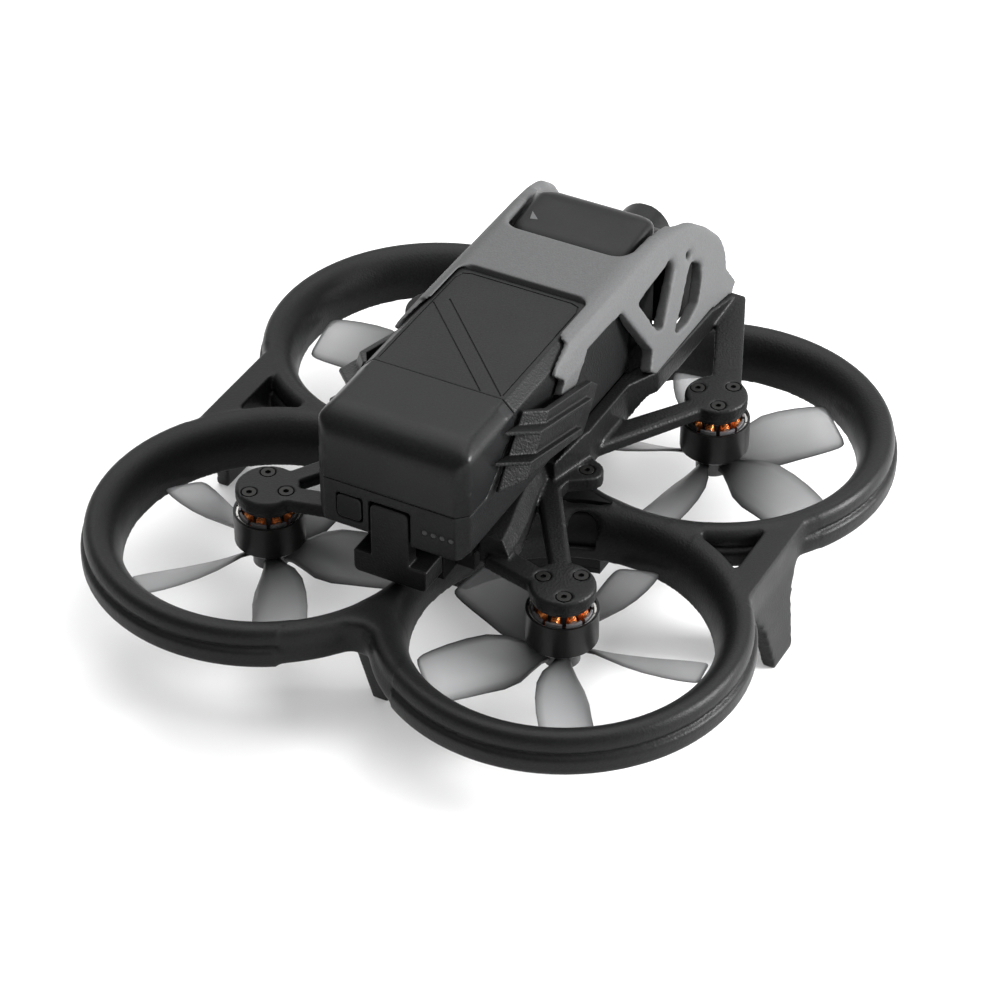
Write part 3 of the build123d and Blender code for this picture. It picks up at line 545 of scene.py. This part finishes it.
def front_cover():
    """The cover between the frame's horns: a pillow with round corners, and a plain triangle."""
    rings = []
    for inset, drop in COVER_RINGS:
        radius = max(COVER_CORNER - inset * 0.6, 0.3)
        ring = []
        for x, across in rounded_rectangle(COVER_HALF[0] - inset, COVER_HALF[1] - inset, radius):
            y = across + COVER_MIDDLE_Y
            ring.append((x, y, along(COVER_CROWN, y) - drop))
        if not rings:
            rings.append([(x, y, COVER_FOOT) for x, y, z in ring])
        rings.append(ring)
    piece("cover_pillow", joined("cover_pillow", [skin(rings)]), "front_cover", 60)
    flat = [(x, y, along(COVER_CROWN, y) - MARK_SUNK) for x, y in MARK_OUTLINE]
    raised = [(x, y, along(COVER_CROWN, y) + MARK_PROUD) for x, y in MARK_OUTLINE]
    thing = piece("cover_mark", joined("mark", [skin([flat, raised])]), "front_cover", 20)
    thing.data.materials[0] = MATERIALS["frame_grey"]


front_cover()


# ---------------------------------------------------------------- propellers

MOTOR_X = 41.2
MOTOR_Y = 43.6
MOTOR_SIGNS = {"fl": (-1, 1), "fr": (1, 1), "rl": (-1, -1), "rr": (1, -1)}
CLOCKWISE = ("fl", "rr")
BLADE_PHASE = {"fl": 38, "fr": 50, "rl": 16, "rr": 12}
BLADES = 5
BLADE_Z = 19.9
HUB_R = 4.6
HUB_LOW = 16.4
HUB_HIGH = 22.9
HUB_CHAMFER = 0.5
# The screw pockets under the hub: how far out, how wide, and where. The shaft's hole goes through.
POCKET_OUT = 3.0
POCKET_R = 1.2
POCKET_TURNS = (90, 210, 330)
SHAFT_HOLE_R = 1.02
TIP_R = 35.6

# Along a blade: radius, chord, pitch in degrees, thickness and how far its middle lies ahead.
STATIONS = (
    (3.4, 5.0, 40, 1.2, 0.0),
    (6.0, 5.4, 40, 1.1, -0.1),
    (9.0, 8.2, 38, 0.9, -0.1),
    (12.5, 12.4, 34, 0.75, 0.2),
    (17.0, 14.8, 30, 0.65, 0.6),
    (22.0, 15.2, 26, 0.55, 0.8),
    (27.0, 15.2, 22.5, 0.5, 0.6),
    (31.0, 14.8, 20, 0.45, 0.3),
    (33.4, 14.2, 19, 0.42, 0.1),
    (34.6, 13.4, 18, 0.4, 0.0),
    (35.3, 12.2, 17.5, 0.36, 0.0),
    (TIP_R, 9.6, 17, 0.24, 0.0),
)
ACROSS = 8
# A blade's underside bulges by this share of its top.
UNDERSIDE = 0.25
# The shade grows from zero at the first radius to one at the second, and drops beyond the third.
SHADE_RADII = (5.0, 31.0, 35.0)
TIP_SHADE = 0.4


def blade_shell():
    """One blade along +X, and each point's shade: its thin outer middle lets more light through."""
    dark_r, light_r, rim_r = SHADE_RADII
    rings = []
    shades = []
    for radius, chord, pitch, thick, ahead in STATIONS:
        lean = radians(pitch)
        ring = []
        for k in range(2 * ACROSS):
            if k <= ACROSS:
                u = -1 + 2 * k / ACROSS
                v = thick * (1 - u * u)
            else:
                u = 3 - 2 * k / ACROSS
                v = -UNDERSIDE * thick * (1 - u * u)
            u = sin(u * pi / 2) * chord / 2
            y = u * cos(lean) - v * sin(lean) + ahead
            ring.append((radius, y, BLADE_Z + u * sin(lean) + v * cos(lean)))
            outer = min(max((radius - dark_r) / (light_r - dark_r), 0), 1)
            middle = 1 - abs(2 * u / chord) ** 6
            shades.append(outer * middle * (1 if radius < rim_r else TIP_SHADE))
        rings.append(ring)
    points, faces = skin(rings)
    return points, faces, shades


def propeller(name):
    """Five translucent blades on a hub with screw pockets. Diagonal pairs turn opposite ways."""
    hub = joined("hub", [rod_shell(0, 0, HUB_LOW, HUB_HIGH, HUB_R, HUB_CHAMFER, 48)])
    pockets = []
    for turn in map(radians, POCKET_TURNS):
        x = POCKET_OUT * cos(turn)
        y = POCKET_OUT * sin(turn)
        pockets.append(rod_shell(x, y, HUB_LOW - 1, HUB_LOW + 1, POCKET_R))
    pockets.append(rod_shell(0, 0, HUB_LOW - 1, HUB_HIGH + 1, SHAFT_HOLE_R))
    hub = cut_away(hub, joined("pockets", pockets))
    hub_points = [tuple(c / MM for c in v.co) for v in hub.vertices]
    shells = [(hub_points, [tuple(face.vertices) for face in hub.polygons])]
    shades = [0.0] * len(hub_points)
    blade, faces, blade_shades = blade_shell()
    hand = -1 if name in CLOCKWISE else 1
    if hand < 0:
        faces = [tuple(reversed(face)) for face in faces]
    for step in range(BLADES):
        turn = radians(BLADE_PHASE[name] + step * 360 / BLADES)
        shells.append((turned([(x, hand * y, z) for x, y, z in blade], turn), faces))
        shades += blade_shades
    mesh = joined("propeller", shells)
    sx, sy = MOTOR_SIGNS[name]
    mesh.transform(Matrix.Translation(Vector((sx * MOTOR_X, sy * MOTOR_Y, 0)) * MM))
    layer = mesh.attributes.new("shade", "FLOAT", "POINT")
    for entry, shade in zip(layer.data, shades):
        entry.value = shade
    piece("five_blades_" + name, mesh, "propeller_" + name, 40)


for name in MOTORS:
    propeller(name)


# ---------------------------------------------------------------- wound coils

TEETH = 9
COIL_MIDDLE = 30.3
WIRE = 0.27
# Each layer of turns: how many, where the first is, and its half width and half height.
COIL_LAYERS = ((4, 4.95, 0.86, 3.25), (3, 5.2, 1.0, 3.8))
COIL_PITCH = 0.5
COIL_STEPS = 20
WIRE_SIDES = 6


def coil_shells():
    """The turns of wire round one tooth along +X, side by side along it in two layers."""
    shells = []
    for turns, first, half_wide, half_high in COIL_LAYERS:
        for turn in range(turns):
            x = first + COIL_PITCH * turn
            rings = []
            for k in range(COIL_STEPS):
                a = 2 * pi * k / COIL_STEPS
                side = abs(cos(a)) ** 0.45 * (1 if cos(a) > 0 else -1)
                up = abs(sin(a)) ** 0.7 * (1 if sin(a) > 0 else -1)
                ring = []
                for m in range(WIRE_SIDES):
                    b = 2 * pi * m / WIRE_SIDES
                    grow = WIRE * cos(b)
                    y = side * half_wide + grow * cos(a)
                    z = COIL_MIDDLE + up * half_high + grow * sin(a)
                    ring.append((x + WIRE * sin(b), y, z))
                rings.append(ring)
            shells.append(skin(rings, closed=True))
    return shells


def windings():
    """The copper coils of the four motors."""
    coil = coil_shells()
    shells = []
    for name in MOTORS:
        sx, sy = MOTOR_SIGNS[name]
        for step in range(TEETH):
            turn = 2 * pi * step / TEETH
            for points, faces in coil:
                shells.append((turned(points, turn, sx * MOTOR_X, sy * MOTOR_Y), faces))
    piece("wound_coils", joined("wound_coils", shells), "stator_windings", 60)


windings()


# ---------------------------------------------------------------- surroundings

FLOOR_HALF = 8.0
FLOOR_GLOW = 0.25
WHITE = (1, 1, 1, 1)

CAMERA_PLACE = (0.3318, -0.6266, 0.5723)
CAMERA_TURN = (52.11, 0, 27.82)
CAMERA_LENS = 126
CAMERA_SENSOR = 36

# The way that the room is brightest, and how its brightness changes from the darkest side to there.
ROOM_BRIGHT_WAY = (0.35, 0.75, 0.56)
ROOM_LIGHT = {"From Min": -0.75, "From Max": 0.45, "To Min": 0.02, "To Max": 1.1}


def lay_floor():
    """A plain pale floor, which glows a little to lighten the shadows."""
    mesh = bpy.data.meshes.new("floor")
    half = FLOOR_HALF
    corners = [(-half, -half, 0), (half, -half, 0), (half, half, 0), (-half, half, 0)]
    mesh.from_pydata(corners, [], [(0, 1, 2, 3)])
    floor = bpy.data.objects.new("floor", mesh)
    bpy.context.scene.collection.objects.link(floor)
    paper = Graph("floor_paper")
    tone = paper.blend(paper.noise(50 * MM, 3.0), grey(0.64), grey(0.66))
    paper.shader.inputs["Emission Color"].default_value = WHITE
    paper.shader.inputs["Emission Strength"].default_value = FLOOR_GLOW
    gloss = paper.span(paper.noise(4 * MM), *CLOUD, 0.8, 0.9)
    mesh.materials.append(paper.finish(tone, gloss, paper.bump(paper.noise(2 * MM), 0.01 * MM)))


def softbox(name, place, aim, size, power):
    """A square area light at a place, aimed at a point."""
    data = bpy.data.lights.new(name, "AREA")
    data.size = size
    data.energy = power
    lamp = bpy.data.objects.new(name, data)
    bpy.context.scene.collection.objects.link(lamp)
    lamp.location = place
    lamp.rotation_euler = (Vector(aim) - Vector(place)).to_track_quat("-Z", "Y").to_euler()


def light_room():
    """A white room, light above and behind the object and darker on the viewer's side."""
    world = bpy.data.worlds.new("studio")
    world.use_nodes = True
    room = world.node_tree
    facing = room.nodes.new("ShaderNodeVectorMath")
    facing.operation = "DOT_PRODUCT"
    facing.inputs[1].default_value = ROOM_BRIGHT_WAY
    glow = room.nodes.new("ShaderNodeMapRange")
    for key, value in ROOM_LIGHT.items():
        glow.inputs[key].default_value = value
    way = room.nodes.new("ShaderNodeTexCoord").outputs["Generated"]
    room.links.new(way, facing.inputs[0])
    room.links.new(facing.outputs["Value"], glow.inputs["Value"])
    room.links.new(glow.outputs["Result"], room.nodes["Background"].inputs["Strength"])
    room.nodes["Background"].inputs["Color"].default_value = WHITE
    bpy.context.scene.world = world


def set_camera():
    """The camera that sees the object as the photograph does."""
    data = bpy.data.cameras.new("camera")
    data.lens = CAMERA_LENS
    data.sensor_width = CAMERA_SENSOR
    camera = bpy.data.objects.new("camera", data)
    bpy.context.scene.collection.objects.link(camera)
    camera.location = CAMERA_PLACE
    camera.rotation_euler = tuple(radians(turn) for turn in CAMERA_TURN)
    bpy.context.scene.camera = camera


lay_floor()
softbox("overhead", (-0.1, 0.3, 1.2), (0, 0, 0.04), 1.5, 19)
softbox("right", (1.1, 0.4, 0.45), (0, 0, 0.05), 0.4, 36)
light_room()
bpy.context.scene.view_settings.view_transform = "Standard"
set_camera()
